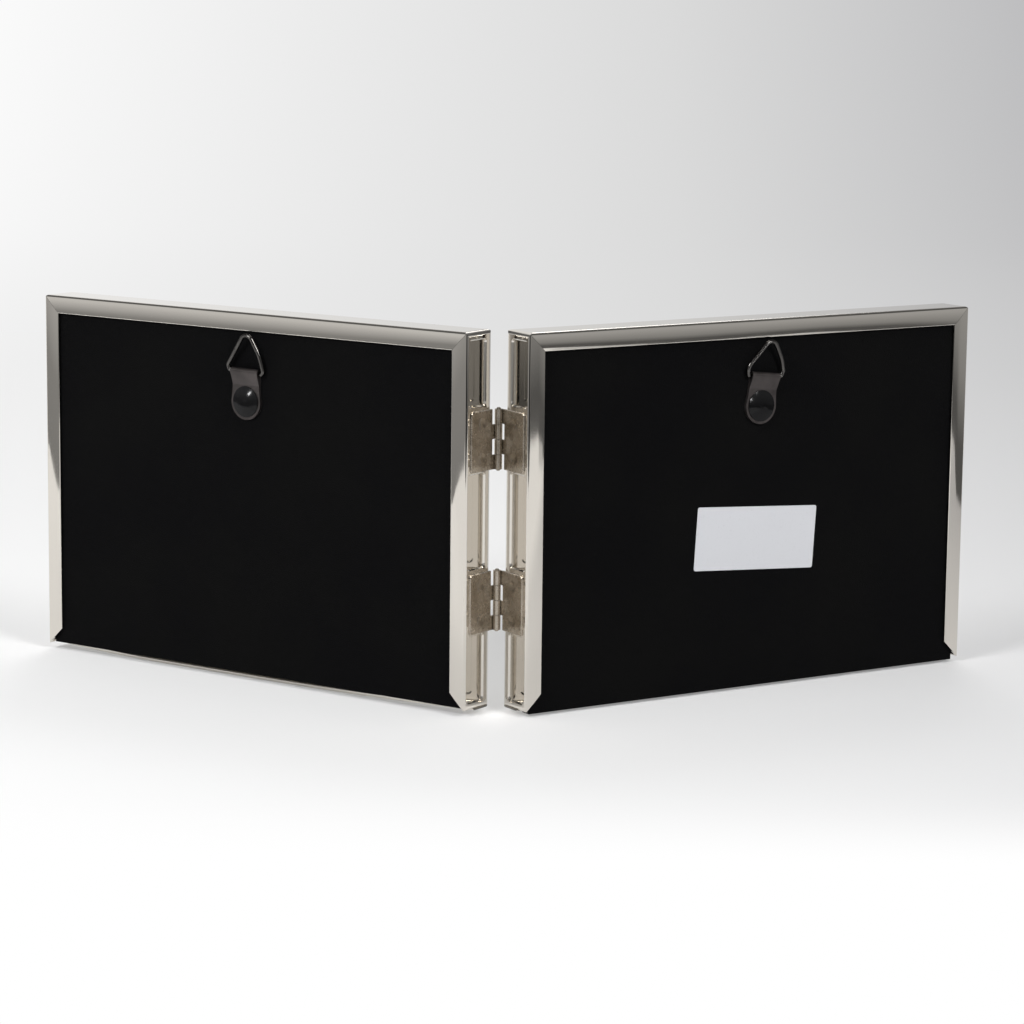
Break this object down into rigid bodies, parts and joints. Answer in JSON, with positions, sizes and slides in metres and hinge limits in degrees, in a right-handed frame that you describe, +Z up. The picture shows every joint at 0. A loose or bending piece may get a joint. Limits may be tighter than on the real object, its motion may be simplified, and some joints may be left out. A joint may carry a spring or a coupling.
{
  "type": "hinged double photo frame",
  "caption": "Hinged double landscape photo frame in polished metal, standing in a V, with velvet backs that slide out and hanging rings.",
  "frame": {"origin": "bottom centre of the bounding box, on the table between the two panels", "axes": "+X to the right seen from behind the backs, +Y from the hinge towards the open ends of the V, +Z up along the hinge pins"},
  "size_m": [0.284, 0.0978, 0.1114],
  "materials": {
    "polished_metal": "mirror polished nickel plating, warm silver",
    "hinge_nickel": "satin nickel, slightly brown",
    "pin_steel": "drawn wire",
    "clear_glass": "clear float glass",
    "card": "plain insert card, blank",
    "filler": "corrugated filler pad",
    "black_board": "dense black board",
    "black_velvet": "short black velvet pile",
    "strap_metal": "dark gunmetal, matte",
    "rivet_black": "glossy black enamel",
    "ring_wire": "bright nickel-plated wire",
    "washer_steel": "plain steel",
    "label_paper": "plain paper label, blank"
  },
  "bodies": {
    "left_frame": {"left_top_rail": "polished_metal", "left_bottom_rail": "polished_metal", "left_hinge_stile": "polished_metal", "left_outer_stile": "polished_metal", "left_glass": "clear_glass", "left_insert_card": "card", "left_filler_pad": "filler", "upper_hinge_left_leaf": "hinge_nickel", "upper_hinge_pin": "pin_steel", "lower_hinge_left_leaf": "hinge_nickel", "lower_hinge_pin": "pin_steel"},
    "right_frame": {"right_top_rail": "polished_metal", "right_bottom_rail": "polished_metal", "right_hinge_stile": "polished_metal", "right_outer_stile": "polished_metal", "right_glass": "clear_glass", "right_insert_card": "card", "right_filler_pad": "filler", "upper_hinge_right_leaf": "hinge_nickel", "lower_hinge_right_leaf": "hinge_nickel"},
    "left_back": {"left_back_board": "black_board", "left_back_cover": "black_velvet", "left_hanger_strap": "strap_metal", "left_hanger_rivet": "rivet_black", "left_rivet_washer": "washer_steel"},
    "right_back": {"right_back_board": "black_board", "right_back_cover": "black_velvet", "right_hanger_strap": "strap_metal", "right_hanger_rivet": "rivet_black", "right_rivet_washer": "washer_steel", "right_label": "label_paper"},
    "left_ring": {"left_hanger_ring": "ring_wire"},
    "right_ring": {"right_hanger_ring": "ring_wire"}
  },
  "joints": [
    {"name": "fold", "type": "hinge", "parent": "left_frame", "child": "right_frame", "pos_m": [0, -0.03805, 0.0561], "axis": [0, 0, 1], "range_deg": [-66.9, 113.1]},
    {"name": "left_back_slide", "type": "slide", "parent": "left_frame", "child": "left_back", "axis": [0, 0, -1], "range_m": [0, 0.11]},
    {"name": "right_back_slide", "type": "slide", "parent": "right_frame", "child": "right_back", "axis": [0, 0, -1], "range_m": [0, 0.11]},
    {"name": "left_ring_swing", "type": "hinge", "parent": "left_back", "child": "left_ring", "pos_m": [-0.0759, -0.00487, 0.0938], "axis": [0.8343, -0.5512, -0.014], "range_deg": [0, 160]},
    {"name": "right_ring_swing", "type": "hinge", "parent": "right_back", "child": "right_ring", "pos_m": [0.07786, -0.00358, 0.09454], "axis": [0.829, 0.5477, -0.1132], "range_deg": [0, 160]}
  ]
}
